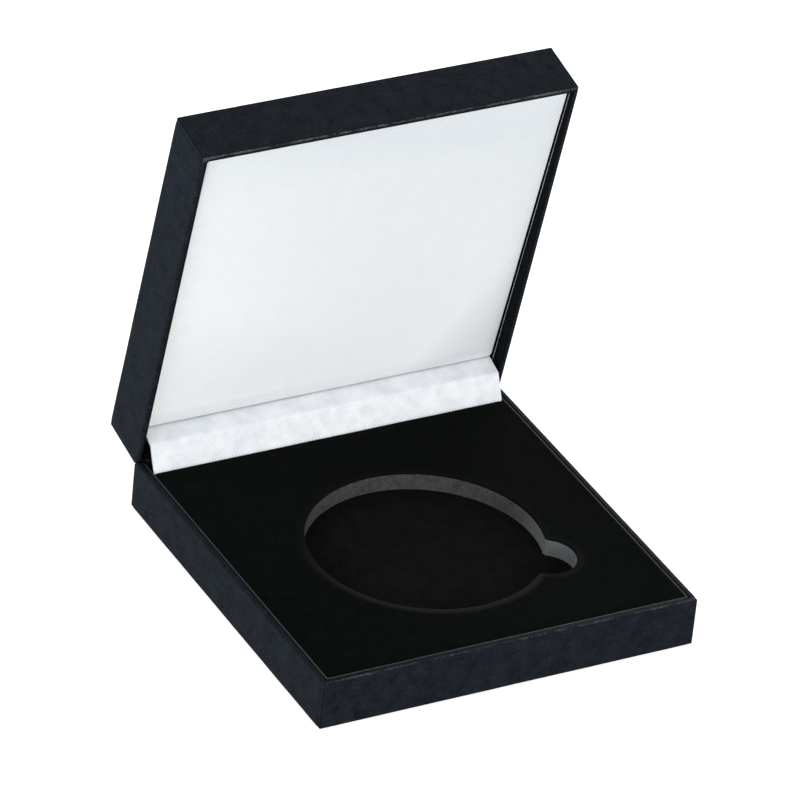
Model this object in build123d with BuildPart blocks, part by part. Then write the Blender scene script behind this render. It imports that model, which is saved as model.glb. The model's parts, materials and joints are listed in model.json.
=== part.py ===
import os
from math import atan2, cos, hypot, radians, sin, tan

from build123d import *

os.makedirs("parts", exist_ok=True)

# Millimetres. +X runs along the hinge, +Y to the back and +Z up. The origin is the middle of the
# underside. The lid is built where it rests when the case stands open.

# The two halves
box_width = 88.0
box_depth = 88.0
base_height = 11.6
lid_height = 13.1
open_angle = 78.0
rim_gap = 0.06  # between the two rims when the case is shut
stop_gap = 0.06  # between the bevelled rim ends when it is open

# Boards and coverings
wrap_t = 0.2
board_t = 1.0
floor_t = 1.2
edge_r = 0.4
turn_in = 4.5
turn_under = 10.0
underside_t = 0.3
underside_margin = 1.5
collar_t = 0.4
collar_edge_r = 0.12

# Pad and coin recess
pad_drop = 0.3
pad_gap = 0.1
pad_from_hinge = 4.7
pad_corner_r = 0.8
flock_t = 0.4
pad_foam_t = 3.8
recess_card_t = 0.8
recess_r = 25.5
recess_x = 0.8
recess_y = -4.0
notch_r = 6.5
notch_angle = 34.0
notch_blend_r = 1.2

# Hinge
hinge_inset = 0.9
knuckle_r = 0.75
knuckle_count = 5
knuckle_gap = 0.2
barrel_gap = 0.25
barrel_end_gap = 1.0
pin_r = 0.35
pin_play = 0.04
pin_head_r = 0.6
pin_head_t = 0.25
leaf_t = 0.35
leaf_floor_gap = 1.9
rivet_x = (-22.0, 0.0, 22.0)
rivet_edge = 0.7  # from a rivet's head to the leaf's edge
rivet_r = 0.5
rivet_head_r = 1.2
rivet_head_t = 0.4
rivet_crown_r = 0.72
rivet_flare_r = 0.9
bow_t = 0.3
bow_width = 8.0
bow_tab = 3.0
bow_bulge = 2.7

# Hinge cover strip
satin_t = 0.25
strip_card_t = 0.5
strip_end_gap = 0.3
strip_crease_forward = 2.0  # the crease, from the hinge axis
strip_crease_up = 5.15
strip_base_leg = 6.05
strip_lid_leg = 6.0

# Lid lining
lining_from_hinge = 6.2
lining_back_depth = 3.0
lining_front_depth = 0.7
lining_side_gap = 0.4
lining_front_gap = 0.35
lining_corner_r = 1.0
lining_edge_r = 0.5
lining_turn = 8.0
wadding_t = 1.0
lining_card_t = 0.8
foam_side_gap = 1.2
foam_end_gap = 1.2

# Worked out from the sizes above. Each half has a frame on the hinge axis: y runs forwards, away
# from the hinge, and z runs from the rim into the half.
hinge_y = box_depth / 2 - hinge_inset
lean = radians(open_angle)
bevel = radians(open_angle / 2)
base_frame = Plane(origin=(0, hinge_y, base_height), x_dir=(1, 0, 0), z_dir=(0, 0, -1))
lid_frame = Plane(
    origin=(0, hinge_y, base_height), x_dir=(-1, 0, 0), z_dir=(0, sin(lean), cos(lean))
)
rim = rim_gap / 2
wall_t = 2 * wrap_t + board_t
outer_x = box_width / 2
board_x = outer_x - wrap_t
inner_x = outer_x - wall_t
back = -hinge_inset
front = box_depth - hinge_inset
back_drop = knuckle_r + barrel_gap
base_depth = base_height - underside_t
base_floor = base_depth - wrap_t - floor_t
lid_floor = lid_height - wrap_t - floor_t
leaf_y = back + wall_t
leaf_front = leaf_y + leaf_t
leaf_reach = base_floor - leaf_floor_gap
rivet_depth = leaf_reach - rivet_edge - rivet_head_r
barrel_half = inner_x - barrel_end_gap
slot = 2 * barrel_half / knuckle_count
pad_x = inner_x - collar_t - pad_gap
pad_front = front - wall_t - collar_t - pad_gap
recess_floor = pad_drop + flock_t + pad_foam_t
recess_at = (recess_x, hinge_y - recess_y)


def slab(frame, x, y, z, mode=Mode.ADD):
    """A block in a half's frame, from a pair of limits each way."""
    with BuildSketch(frame.offset(z[0])) as face:
        with Locations(((x[0] + x[1]) / 2, (y[0] + y[1]) / 2)):
            Rectangle(x[1] - x[0], y[1] - y[0])
    extrude(face.sketch, amount=z[1] - z[0], mode=mode)


def section(frame, at=0.0):
    """The plane across a half at one place along the hinge: x forwards, y into the half."""
    return Plane(
        origin=frame.from_local_coords((at, 0, 0)), x_dir=frame.y_dir, z_dir=frame.x_dir
    )


def bevel_cut(frame, inset):
    """Cuts the rim's hinge corner back along the stop, which halves the opening angle."""
    reach = hinge_inset + wall_t
    lift = inset / cos(bevel)
    high = (reach, lift - reach * tan(bevel))
    low = (-reach, lift + reach * tan(bevel))
    with BuildSketch(section(frame)) as corner:
        with BuildLine():
            Polyline(high, low, (low[0], high[1]), close=True)
        make_face()
    extrude(corner.sketch, amount=box_width, both=True, mode=Mode.SUBTRACT)


def save(piece, name):
    piece.part.label = name
    export_step(piece.part, f"parts/{name}.step")


def add_rivet(frame, x, seat):
    """One rivet: a head on its seat, a shank through the board and a flare flush with its far side."""
    side = Plane(
        origin=frame.from_local_coords((x, 0, rivet_depth)), x_dir=frame.y_dir, z_dir=frame.x_dir
    )
    tail = back + wrap_t
    with BuildSketch(side) as half:
        with BuildLine():
            Polyline(
                (tail, 0),
                (tail, rivet_flare_r),
                (tail + rivet_flare_r - rivet_r, rivet_r),
                (seat, rivet_r),
                (seat, rivet_head_r),
                (seat + rivet_head_t, rivet_crown_r),
                (seat + rivet_head_t, 0),
                close=True,
            )
        make_face()
    revolve(half.sketch, axis=Axis(side.origin, side.x_dir))


def wall(frame, x, y, z, cuts):
    """A wall board, less the rivets that go through it."""
    with BuildPart() as board:
        slab(frame, x, y, z)
        bevel_cut(frame, wrap_t + stop_gap / 2)
        for cut in cuts:
            add(cut.part, mode=Mode.SUBTRACT)
    return board


def boards(frame, floor_z, rivets):
    """The five boards of one half: the floor or top, two side walls, and front and back between them."""
    walls_z = (rim + wrap_t, floor_z)
    between = board_x - board_t
    ends = (back + wrap_t, front - wrap_t)
    left, right = ((between, board_x), (-board_x, -between))
    if frame.x_dir.X > 0:
        left, right = right, left
    with BuildPart() as floor:
        slab(frame, (-board_x, board_x), ends, (floor_z, floor_z + floor_t))
    return {
        "floor": floor,
        "wall_left": wall(frame, left, ends, walls_z, ()),
        "wall_right": wall(frame, right, ends, walls_z, ()),
        "wall_front": wall(
            frame, (-between, between), (ends[1] - board_t, ends[1]), walls_z, ()
        ),
        "wall_back": wall(
            frame,
            (-between, between),
            (ends[0], ends[0] + board_t),
            (back_drop + wrap_t, floor_z),
            (rivets,),
        ),
    }


def covering(frame, depth, floor_z, pieces, rivets, open_under):
    """The leather-grain wrap: a rounded skin on the boards, over the rim and turned in below it."""
    with BuildPart() as skin:
        slab(frame, (-outer_x, outer_x), (back, front), (rim, depth))
        fillet(skin.edges(), edge_r)
        for piece in (*pieces.values(), rivets):
            add(piece.part, mode=Mode.SUBTRACT)
        slab(frame, (-inner_x, inner_x), (leaf_y, front - wall_t), (0, floor_z), Mode.SUBTRACT)
        slab(
            frame,
            (-inner_x - wrap_t, inner_x + wrap_t),
            (leaf_y - wrap_t, front - wall_t + wrap_t),
            (turn_in, floor_z),
            Mode.SUBTRACT,
        )
        slab(frame, (-inner_x, inner_x), (back - wall_t, leaf_y), (-wall_t, back_drop), Mode.SUBTRACT)
        bevel_cut(frame, stop_gap / 2)
        if open_under:
            slab(
                frame,
                (-outer_x + turn_under, outer_x - turn_under),
                (back + turn_under, front - turn_under),
                (depth - wrap_t, depth),
                Mode.SUBTRACT,
            )
    return skin


def hinge_leaf(frame, slots, bore_r, cuts):
    """A plate against the back wall whose top is rolled into knuckles round the pin."""
    with BuildPart() as leaf:
        slab(frame, (-barrel_half, barrel_half), (leaf_y, leaf_front), (back_drop, leaf_reach))
        for i in slots:
            x = (i - (knuckle_count - 1) / 2) * slot
            half = (slot - knuckle_gap) / 2
            with BuildSketch(section(frame, x)) as roll:
                Circle(knuckle_r)
                with Locations(((leaf_y + leaf_front) / 2, back_drop / 2)):
                    Rectangle(leaf_t, back_drop)
            extrude(roll.sketch, amount=half, both=True)
        with BuildSketch(section(frame)) as bore:
            Circle(bore_r)
        extrude(bore.sketch, amount=outer_x, both=True, mode=Mode.SUBTRACT)
        for cut in cuts:
            add(cut.part, mode=Mode.SUBTRACT)
    return leaf


def ribbon(points, near, far):
    """The outline of a bent strip: the line through the points, offset to two distances on its left."""

    def shifted(d):
        out = []
        for i, (px, py) in enumerate(points):
            ways = []
            for a, b in zip(points[max(i - 1, 0) : i + 1], points[max(i, 1) : i + 2]):
                long = hypot(b[0] - a[0], b[1] - a[1])
                ways.append(((a[1] - b[1]) / long, (b[0] - a[0]) / long))
            nx = sum(w[0] for w in ways) / len(ways)
            ny = sum(w[1] for w in ways) / len(ways)
            scale = d / (nx * nx + ny * ny)
            out.append((px + nx * scale, py + ny * scale))
        return out

    return shifted(near) + shifted(far)[::-1]


# Rivets: three in each half, through the leaf and the back board. The outer two also clamp the
# ends of the bow springs, so they are seated one spring thickness higher than the middle one.
with BuildPart() as base_rivets:
    for x in rivet_x:
        add_rivet(base_frame, x, leaf_front + (bow_t if x else 0))
save(base_rivets, "base_rivets")

with BuildPart() as lid_rivets:
    for x in rivet_x:
        add_rivet(lid_frame, x, leaf_front + (bow_t if x else 0))
save(lid_rivets, "lid_rivets")

# Base tray: boards, wrap and the sheet under it
base_boards = boards(base_frame, base_floor, base_rivets)
for place, board in base_boards.items():
    save(board, "base_floor_board" if place == "floor" else f"base_{place}")

base_wrap = covering(base_frame, base_depth, base_floor, base_boards, base_rivets, True)
save(base_wrap, "base_wrap")

with BuildPart() as underside_sheet:
    slab(
        base_frame,
        (-outer_x + underside_margin, outer_x - underside_margin),
        (back + underside_margin, front - underside_margin),
        (base_depth, base_height),
    )
save(underside_sheet, "underside_sheet")

# Collar: a lip strip round the front and both sides, flush with the rim
with BuildPart() as base_collar:
    slab(base_frame, (-inner_x, inner_x), (leaf_y, front - wall_t), (rim, base_floor))
    slab(
        base_frame,
        (-inner_x + collar_t, inner_x - collar_t),
        (leaf_y, front - wall_t - collar_t),
        (rim, base_floor),
        Mode.SUBTRACT,
    )
    fillet(base_collar.faces().sort_by(Axis.Z)[-1].edges(), collar_edge_r)
save(base_collar, "base_collar")

# Pad: spacer, flocked card, foam with the recess through it, and the flocked top sheet
pad_limits = ((-pad_x, pad_x), (pad_from_hinge, pad_front))
notch_way = radians(notch_angle)
notch_at = (
    recess_at[0] + recess_r * cos(notch_way),
    recess_at[1] + recess_r * sin(notch_way),
)


def on_both_circles(edge):
    """Whether an edge is an upright one where the recess and the thumb notch meet."""
    touching = 0.01
    middle = base_frame.to_local_coords(edge @ 0.5)
    off_recess = abs(hypot(middle.X - recess_at[0], middle.Y - recess_at[1]) - recess_r)
    off_notch = abs(hypot(middle.X - notch_at[0], middle.Y - notch_at[1]) - notch_r)
    return off_recess + off_notch < touching


def pad_layer(top, bottom, with_recess):
    with BuildPart() as layer:
        slab(base_frame, *pad_limits, (top, bottom))
        corners = layer.edges().filter_by(Axis.Z).group_by(Axis.Y)[0]
        fillet(corners, pad_corner_r)
        if with_recess:
            with BuildSketch(base_frame.offset(top)) as hole:
                with Locations(recess_at):
                    Circle(recess_r)
                with Locations(notch_at):
                    Circle(notch_r)
            extrude(hole.sketch, amount=bottom - top, mode=Mode.SUBTRACT)
            fillet(layer.edges().filter_by(on_both_circles), notch_blend_r)
    return layer


pad_flock = pad_layer(pad_drop, pad_drop + flock_t, True)
save(pad_flock, "pad_flock")
pad_foam = pad_layer(pad_drop + flock_t, recess_floor, True)
save(pad_foam, "pad_foam")
recess_floor_card = pad_layer(recess_floor, recess_floor + recess_card_t, False)
save(recess_floor_card, "recess_floor_card")
pad_spacer_foam = pad_layer(recess_floor + recess_card_t, base_floor, False)
save(pad_spacer_foam, "pad_spacer_foam")

# Bow springs: flat spring steel, clamped to both leaves and bowed forwards round the barrel
bow_mid = leaf_front + bow_t / 2
tab_top = rivet_depth - bow_tab / 2
tab_end = rivet_depth + bow_tab / 2
bulge = radians(90) + bevel
bows = {}
for side, x in (("left", rivet_x[0]), ("right", rivet_x[2])):
    base_ends = [base_frame.from_local_coords((x, bow_mid, z)) for z in (tab_end, tab_top)]
    lid_ends = [lid_frame.from_local_coords((-x, bow_mid, z)) for z in (tab_top, tab_end)]
    crown = Vector(x, hinge_y + bow_bulge * cos(bulge), base_height + bow_bulge * sin(bulge))
    with BuildPart() as bow:
        with BuildLine() as path:
            Line(*base_ends)
            Spline(
                base_ends[1],
                crown,
                lid_ends[0],
                tangents=(-base_frame.z_dir, lid_frame.z_dir),
            )
            Line(*lid_ends)
        with BuildSketch(Plane(origin=path.line @ 0, x_dir=(1, 0, 0), z_dir=path.line % 0)):
            Rectangle(bow_width, bow_t)
        sweep()
        add(base_rivets.part, mode=Mode.SUBTRACT)
        add(lid_rivets.part, mode=Mode.SUBTRACT)
    bows[side] = bow
    save(bow, f"bow_spring_{side}")

# Hinge: interleaved leaves on one pin, held in the base's knuckles and free in the lid's
hinge_base_leaf = hinge_leaf(base_frame, range(0, knuckle_count, 2), pin_r, (base_rivets,))
save(hinge_base_leaf, "hinge_base_leaf")
hinge_lid_leaf = hinge_leaf(
    lid_frame, range(1, knuckle_count, 2), pin_r + pin_play, (lid_rivets,)
)
save(hinge_lid_leaf, "hinge_lid_leaf")

end_face = barrel_half - knuckle_gap / 2
with BuildPart() as hinge_pin:
    with BuildSketch(section(base_frame)):
        Circle(pin_r)
    extrude(amount=end_face, both=True)
    for sign in (-1, 1):
        with BuildSketch(section(base_frame, sign * (end_face + pin_head_t / 2))):
            Circle(pin_head_r)
        extrude(amount=pin_head_t / 2, both=True)
save(hinge_pin, "hinge_pin")

# Lid lining: a wadded, satin-covered card, tilted so that its hinge edge lies deeper in the lid
lining_run = front - wall_t - lining_front_gap - lining_from_hinge
lining_tilt = atan2(lining_back_depth - lining_front_depth, lining_run)
lining_long = lining_run / cos(lining_tilt)
lining_x = inner_x - lining_side_gap
lining_frame = Plane(
    origin=lid_frame.from_local_coords((0, lining_from_hinge, lining_back_depth)),
    x_dir=lid_frame.x_dir,
    z_dir=lid_frame.z_dir * cos(lining_tilt) + lid_frame.y_dir * sin(lining_tilt),
)
lining_axis = Axis(lining_frame.origin, lining_frame.z_dir)
card_top = satin_t + wadding_t
card_back = card_top + lining_card_t
lining_back = card_back + satin_t


def lining_layer(inset, top, bottom, edge):
    """One layer of the lining panel, with rounded corners and, on a soft layer, a rounded face."""
    with BuildPart() as layer:
        slab(
            lining_frame,
            (-lining_x + inset, lining_x - inset),
            (inset, lining_long - inset),
            (top, bottom),
        )
        fillet(layer.edges().filter_by(lining_axis), lining_corner_r - inset)
        if edge:
            fillet(layer.faces().sort_by(lining_axis)[0].edges(), edge)
    return layer


lining_wadding = lining_layer(satin_t, satin_t, card_top, lining_edge_r - satin_t)
save(lining_wadding, "lining_wadding")
lining_card = lining_layer(satin_t, card_top, card_back, 0)
save(lining_card, "lining_card")

with BuildPart() as lining_satin:
    add(lining_layer(0, 0, lining_back, lining_edge_r).part)
    add(lining_wadding.part, mode=Mode.SUBTRACT)
    add(lining_card.part, mode=Mode.SUBTRACT)
    slab(
        lining_frame,
        (-lining_x + lining_turn, lining_x - lining_turn),
        (lining_turn, lining_long - lining_turn),
        (card_back, lining_back),
        Mode.SUBTRACT,
    )
save(lining_satin, "lining_satin")

# Lid tray and the foam wedge that carries the lining
lid_boards = boards(lid_frame, lid_floor, lid_rivets)
for place, board in lid_boards.items():
    save(board, "lid_top_board" if place == "floor" else f"lid_{place}")

lid_wrap = covering(lid_frame, lid_height, lid_floor, lid_boards, lid_rivets, False)
save(lid_wrap, "lid_wrap")

foam_ends = (lining_from_hinge + foam_end_gap, front - wall_t - foam_end_gap)
foam_tops = [
    lining_back_depth + lining_back / cos(lining_tilt) - (y - lining_from_hinge) * tan(lining_tilt)
    for y in foam_ends
]
with BuildPart() as lid_backing_foam:
    with BuildSketch(section(lid_frame)):
        with BuildLine():
            Polyline(
                (foam_ends[0], foam_tops[0]),
                (foam_ends[1], foam_tops[1]),
                (foam_ends[1], lid_floor),
                (foam_ends[0], lid_floor),
                close=True,
            )
        make_face()
    extrude(amount=inner_x - foam_side_gap, both=True)
save(lid_backing_foam, "lid_backing_foam")

# Hinge cover strip: creased card with satin on its face, tucked behind the pad and the lining
strip_half = inner_x - collar_t - strip_end_gap
strip_y = hinge_y - pad_from_hinge + satin_t
strip_fold = base_height - pad_drop + satin_t
lid_fold = lining_frame.from_local_coords((0, -satin_t, satin_t))
lid_end = lining_frame.from_local_coords((0, -satin_t, strip_lid_leg))
strip_line = [
    (strip_y, strip_fold - strip_base_leg),
    (strip_y, strip_fold),
    (hinge_y - strip_crease_forward, base_height + strip_crease_up),
    (lid_fold.Y, lid_fold.Z),
    (lid_end.Y, lid_end.Z),
]


def strip_layer(near, far):
    with BuildPart() as layer:
        with BuildSketch(Plane.YZ):
            with BuildLine():
                Polyline(*ribbon(strip_line, near, far), close=True)
            make_face()
        extrude(amount=strip_half, both=True)
    return layer


strip_satin = strip_layer(0, satin_t)
save(strip_satin, "strip_satin")
strip_card = strip_layer(-strip_card_t, 0)
save(strip_card, "strip_card")
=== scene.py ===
import json
import math

import bmesh
import bpy
from mathutils import Matrix, Vector, geometry, kdtree, noise
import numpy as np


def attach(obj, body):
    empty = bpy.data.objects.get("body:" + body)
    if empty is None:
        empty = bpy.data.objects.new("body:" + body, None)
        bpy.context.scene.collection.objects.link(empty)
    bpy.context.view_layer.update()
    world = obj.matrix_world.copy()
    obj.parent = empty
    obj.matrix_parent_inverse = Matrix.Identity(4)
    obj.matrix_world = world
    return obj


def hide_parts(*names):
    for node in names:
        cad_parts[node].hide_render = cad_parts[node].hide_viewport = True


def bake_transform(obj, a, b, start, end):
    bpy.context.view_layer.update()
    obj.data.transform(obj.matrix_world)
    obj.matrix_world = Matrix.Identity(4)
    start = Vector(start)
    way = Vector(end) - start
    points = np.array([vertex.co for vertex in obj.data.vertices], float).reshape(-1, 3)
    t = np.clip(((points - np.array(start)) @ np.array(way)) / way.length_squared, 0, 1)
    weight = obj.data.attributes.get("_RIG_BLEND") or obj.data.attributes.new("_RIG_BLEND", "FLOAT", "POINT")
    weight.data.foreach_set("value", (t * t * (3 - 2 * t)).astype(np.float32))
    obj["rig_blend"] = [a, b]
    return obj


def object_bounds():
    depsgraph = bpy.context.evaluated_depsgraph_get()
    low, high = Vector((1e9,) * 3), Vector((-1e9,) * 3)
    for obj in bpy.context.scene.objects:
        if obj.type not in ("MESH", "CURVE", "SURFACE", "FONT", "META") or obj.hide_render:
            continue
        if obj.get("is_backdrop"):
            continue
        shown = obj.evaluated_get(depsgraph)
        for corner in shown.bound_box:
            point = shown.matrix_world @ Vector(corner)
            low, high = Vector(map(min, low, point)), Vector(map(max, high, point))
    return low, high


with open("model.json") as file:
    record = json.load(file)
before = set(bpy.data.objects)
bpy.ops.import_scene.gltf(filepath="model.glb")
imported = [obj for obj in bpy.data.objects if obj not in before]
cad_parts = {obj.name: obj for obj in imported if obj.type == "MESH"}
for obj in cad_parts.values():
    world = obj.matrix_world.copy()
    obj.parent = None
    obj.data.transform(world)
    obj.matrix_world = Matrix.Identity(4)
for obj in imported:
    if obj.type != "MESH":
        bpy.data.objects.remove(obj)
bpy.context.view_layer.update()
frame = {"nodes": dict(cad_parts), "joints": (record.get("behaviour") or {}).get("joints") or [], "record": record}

# The view: a long lens from above and in front, to the left, rolled a little. Lengths in this file
# are millimetres until a piece's mesh is placed, which turns them into metres.
millimetre = 0.001


def added(name, data):
    """A new object of the scene, with its data."""
    thing = bpy.data.objects.new(name, data)
    bpy.context.collection.objects.link(thing)
    return thing


camera_place = Vector((-656.1, -1083.2, 845.4)) * millimetre
camera_target = Vector((5.16, 19.68, 30.83)) * millimetre
camera_roll = math.radians(5.954)
camera_data = bpy.data.cameras.new("camera")
camera_data.sensor_width = 36.0
camera_data.lens = 325.0
camera = added("camera", camera_data)
aim = (camera_target - camera_place).to_track_quat("-Z", "Y").to_matrix().to_4x4()
camera.matrix_world = Matrix.Translation(camera_place) @ aim @ Matrix.Rotation(camera_roll, 4, "Z")
bpy.context.scene.camera = camera
bpy.context.scene.view_settings.view_transform = "Standard"


# The table and the room: a seamless pale sheet in a pale room, under four soft lights. Seen
# directly or in a reflection they are brighter than the light that they throw on the case.
room_light = 0.31
table_colour = (0.72, 0.72, 0.72)
table_lift = (0.70, 0.70, 0.70)
table_half = 4.0  # in metres, as the lights' places and widths are


class Signal:
    """A node's output socket, with the arithmetic that adds Math or Vector Math nodes."""

    def __init__(self, tree, socket):
        self.tree = tree
        self.socket = socket

    def joined(self, operation, left, right):
        number = self.socket.type == "VALUE"
        node = self.tree.nodes.new("ShaderNodeMath" if number else "ShaderNodeVectorMath")
        node.operation = operation
        for socket, value in zip(node.inputs, (left, right)):
            plug(self.tree, socket, value)
        return Signal(self.tree, node.outputs[0])

    def __add__(self, other):
        return self.joined("ADD", self, other)

    def __radd__(self, other):
        return self.joined("ADD", other, self)

    def __sub__(self, other):
        return self.joined("SUBTRACT", self, other)

    def __rsub__(self, other):
        return self.joined("SUBTRACT", other, self)

    def __mul__(self, other):
        return self.joined("MULTIPLY", self, other)

    def __rmul__(self, other):
        return self.joined("MULTIPLY", other, self)


def plug(tree, socket, value):
    """Links a signal to a socket, or sets the socket to a plain value."""
    if isinstance(value, Signal):
        tree.links.new(value.socket, socket)
    elif socket.type == "RGBA":
        socket.default_value = (*value, 1.0)
    elif socket.type == "VECTOR" and isinstance(value, float):
        socket.default_value = (value,) * 3
    else:
        socket.default_value = value


def named(sockets, name):
    """The first socket with a name, or the one with an identifier where several share a name."""
    return next(s for s in sockets if name in (s.identifier, s.name))


class Shading:
    """A node tree that is being built."""

    def __init__(self, tree):
        self.tree = tree

    def add(self, kind, settings, values, output):
        """Adds any node: its settings first, then its sockets by name, and returns one output."""
        node = self.tree.nodes.new(kind)
        for name, value in settings.items():
            setattr(node, name, value)
        for name, value in values.items():
            plug(self.tree, named(node.inputs, name), value)
        return Signal(self.tree, named(node.outputs, output))


class Finish(Shading):
    """A material with one Principled surface. Its constants are set on the surface's own sockets."""

    def __init__(self, name, constants):
        self.material = bpy.data.materials.new(name)
        self.material.use_nodes = True
        super().__init__(self.material.node_tree)
        self.surface = self.tree.nodes["Principled BSDF"]
        self.wire(constants)

    def wire(self, values):
        for name, value in values.items():
            plug(self.tree, self.surface.inputs[name], value)

    def place(self):
        """Where a point of the piece lies, in millimetres in the piece's own frame."""
        return self.add("ShaderNodeAttribute", {"attribute_name": "place"}, {}, "Vector")

    def packed_place(self):
        """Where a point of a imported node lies, in metres, because its mesh records no place."""
        return self.add("ShaderNodeTexCoord", {}, {}, "Object")

    def wear(self):
        """How rubbed a point of the piece is, with any painted highlight, or below 0 how much shade is painted
        there, as its mesh says.
        """
        return self.add("ShaderNodeAttribute", {"attribute_name": "wear"}, {}, "Fac")

    def noise(self, where, size, detail=3.0, rough=0.6):
        """Noise from 0 to 1 with features about size millimetres across."""
        values = {"Vector": where, "Scale": 1 / size, "Detail": detail, "Roughness": rough}
        return self.add("ShaderNodeTexNoise", {}, values, "Fac")

    def ranged(self, signal, low, high, start=0.0, end=1.0):
        """The signal's run from low to high, spread from start to end and held beyond them."""
        values = {"Value": signal, "From Min": low, "From Max": high, "To Min": start, "To Max": end}
        return self.add("ShaderNodeMapRange", {"clamp": True}, values, "Result")

    def mixed(self, share, first, second, blend="MIX"):
        """The first colour with a share of the second mixed into it."""
        values = {"Factor_Float": share, "A_Color": first, "B_Color": second}
        return self.add("ShaderNodeMix", {"data_type": "RGBA", "blend_type": blend}, values, "Result_Color")

    def bumped(self, height, tall, strength=1.0):
        """A bump whose height runs from 0 to 1 over tall millimetres."""
        values = {"Height": height, "Distance": tall * millimetre, "Strength": strength}
        return self.add("ShaderNodeBump", {}, values, "Normal")


def seen_directly(shading):
    """1 where the camera, a reflection or a transmission sees it, and 0 where it lights the case."""
    rays = ("Is Camera Ray", "Is Glossy Ray", "Is Transmission Ray")
    by_camera, by_gloss, through_glass = (shading.add("ShaderNodeLightPath", {}, {}, ray) for ray in rays)
    return by_camera + by_gloss + through_glass


world = bpy.data.worlds.new("room")
world.use_nodes = True
bpy.context.scene.world = world
room = Shading(world.node_tree)
room_strength = seen_directly(room) * (1 - room_light) + room_light
plug(room.tree, room.tree.nodes["Background"].inputs["Strength"], room_strength)
plug(room.tree, room.tree.nodes["Background"].inputs["Color"], (1.0, 1.0, 1.0))

sheet_of_paper = Finish("table", {"Base Color": table_colour, "Roughness": 0.9, "Emission Strength": 1.0})
table_seen = seen_directly(sheet_of_paper)
sheet_of_paper.wire({"Emission Color": sheet_of_paper.mixed(table_seen, (0, 0, 0), table_lift)})
table_mesh = bpy.data.meshes.new("table")
corner_signs = [(-1, -1), (1, -1), (1, 1), (-1, 1)]
table_mesh.from_pydata([(x * table_half, y * table_half, 0) for x, y in corner_signs], [], [(0, 1, 2, 3)])
table_mesh.materials.append(sheet_of_paper.material)
added("table", table_mesh)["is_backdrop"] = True


def soft_box(name, place, width, power, tint=(1.0, 1.0, 1.0)):
    """A square soft light at a place, aimed at the case."""
    data = bpy.data.lights.new(name, "AREA")
    data.color = tint
    data.size = width
    data.energy = power
    light = added(name, data)
    light.location = place
    light.rotation_euler = (camera_target - Vector(place)).to_track_quat("-Z", "Y").to_euler()


soft_box("key", (-1.15, -0.45, 0.55), 0.8, 5.5)
soft_box("side", (-0.5, 0.35, 0.3), 0.3, 1.6, tint=(0.72, 1.0, 1.16))
soft_box("front", (0.1, -1.5, 0.48), 1.0, 19.2)
soft_box("back", (1.0, 1.3, 0.4), 1.0, 16.0)


# The wraps: each half is covered in one sheet of black leather-grained paper, glued over the
# boards, folded round the corners, turned in over the rim and, on the base, turned under.
wrap_t = 0.18
corner_r = 0.45
rim_r = 0.60
inner_r = 0.18
rim_steps = 5
hinge_drop = 1.0  # how far the rim is cut down along the hinge
stop_half_gap = 0.03
base_turn_in = (4.5, 4.5)  # the turned-in edge's depth at the front and at the hinge
lid_turn_in = (0.95, 3.35)
turn_under = 10.0
wrap_swell = 0.03
wrap_pucker = 0.010
net = 2.2  # the spacing of the points that its swells and puckers move
tuck = 1.3  # how far short of the corner a side flap's cut edge stops
tuck_step = 0.09
tuck_slope = 0.06
rim_zone = rim_r + 0.1
# The edges' rubbed values are partly a painted highlight on their rounding, and the groove and corner values are
# painted shade.
edge_wear_and_highlight = 0.55
side_wear_and_highlight = 0.55  # of the side rims, as a share of the front rim's
flap_wear = 0.25
groove_painted_shade = 0.7
corner_painted_shade = 0.8
hair = 0.01  # the slack in telling which face a point lies on
hinge = frame["joints"][0]
pin = Vector(hinge["pos_m"])
lean = math.radians(hinge["range_deg"][1])
sharp_turn = math.radians(50)


def half_frame(along, inwards):
    """A half's own frame, on the hinge pin, as a matrix that turns its millimetres into metres of the
    case's frame. Its x runs along the hinge, y forwards away from it, and z from the rim inwards."""
    turn = Matrix((along, inwards.cross(along), inwards)).transposed().to_4x4()
    return Matrix.Translation(pin) @ turn @ Matrix.Scale(millimetre, 4)


base_half = half_frame(Vector((1, 0, 0)), Vector((0, 0, -1)))
lid_half = half_frame(Vector((-1, 0, 0)), Vector((0, math.sin(lean), math.cos(lean))))


def extent(points):
    """The lowest and the highest corner of the box that holds some points."""
    return Vector(map(min, zip(*points))), Vector(map(max, zip(*points)))


def limits(node, half):
    """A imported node's lowest and highest corners in a half's frame, in millimetres."""
    into = half.inverted()
    return extent([into @ v.co for v in frame["nodes"][node].data.vertices])


inner_x = limits("base_collar", base_half)[1].x


def settle(name, bm, half, finish, body, nodes):
    """Makes a piece of a mesh built in a half's frame, and records each point's place for its finish."""
    bmesh.ops.recalc_face_normals(bm, faces=bm.faces)
    mesh = bpy.data.meshes.new(name)
    places = bm.verts.layers.float_vector.new("place")
    for vert in bm.verts:
        vert[places] = vert.co
        vert.co = half @ vert.co
    for face in bm.faces:
        face.smooth = True
    bm.to_mesh(mesh)
    bm.free()
    mesh.set_sharp_from_angle(angle=sharp_turn)
    mesh.materials.append(finish.material)
    piece = added(name, mesh)
    if body:
        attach(piece, body)
    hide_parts(*nodes)
    return piece


def smooth_step(x, low, high):
    """0 below low, 1 above high, and an eased run between them."""
    t = min(max((x - low) / (high - low), 0.0), 1.0)
    return t * t * (3 - 2 * t)


def ripple(at, size):
    """Smooth unevenness from about -1 to 1, with waves about size millimetres long."""
    return noise.noise(at / size)


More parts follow.
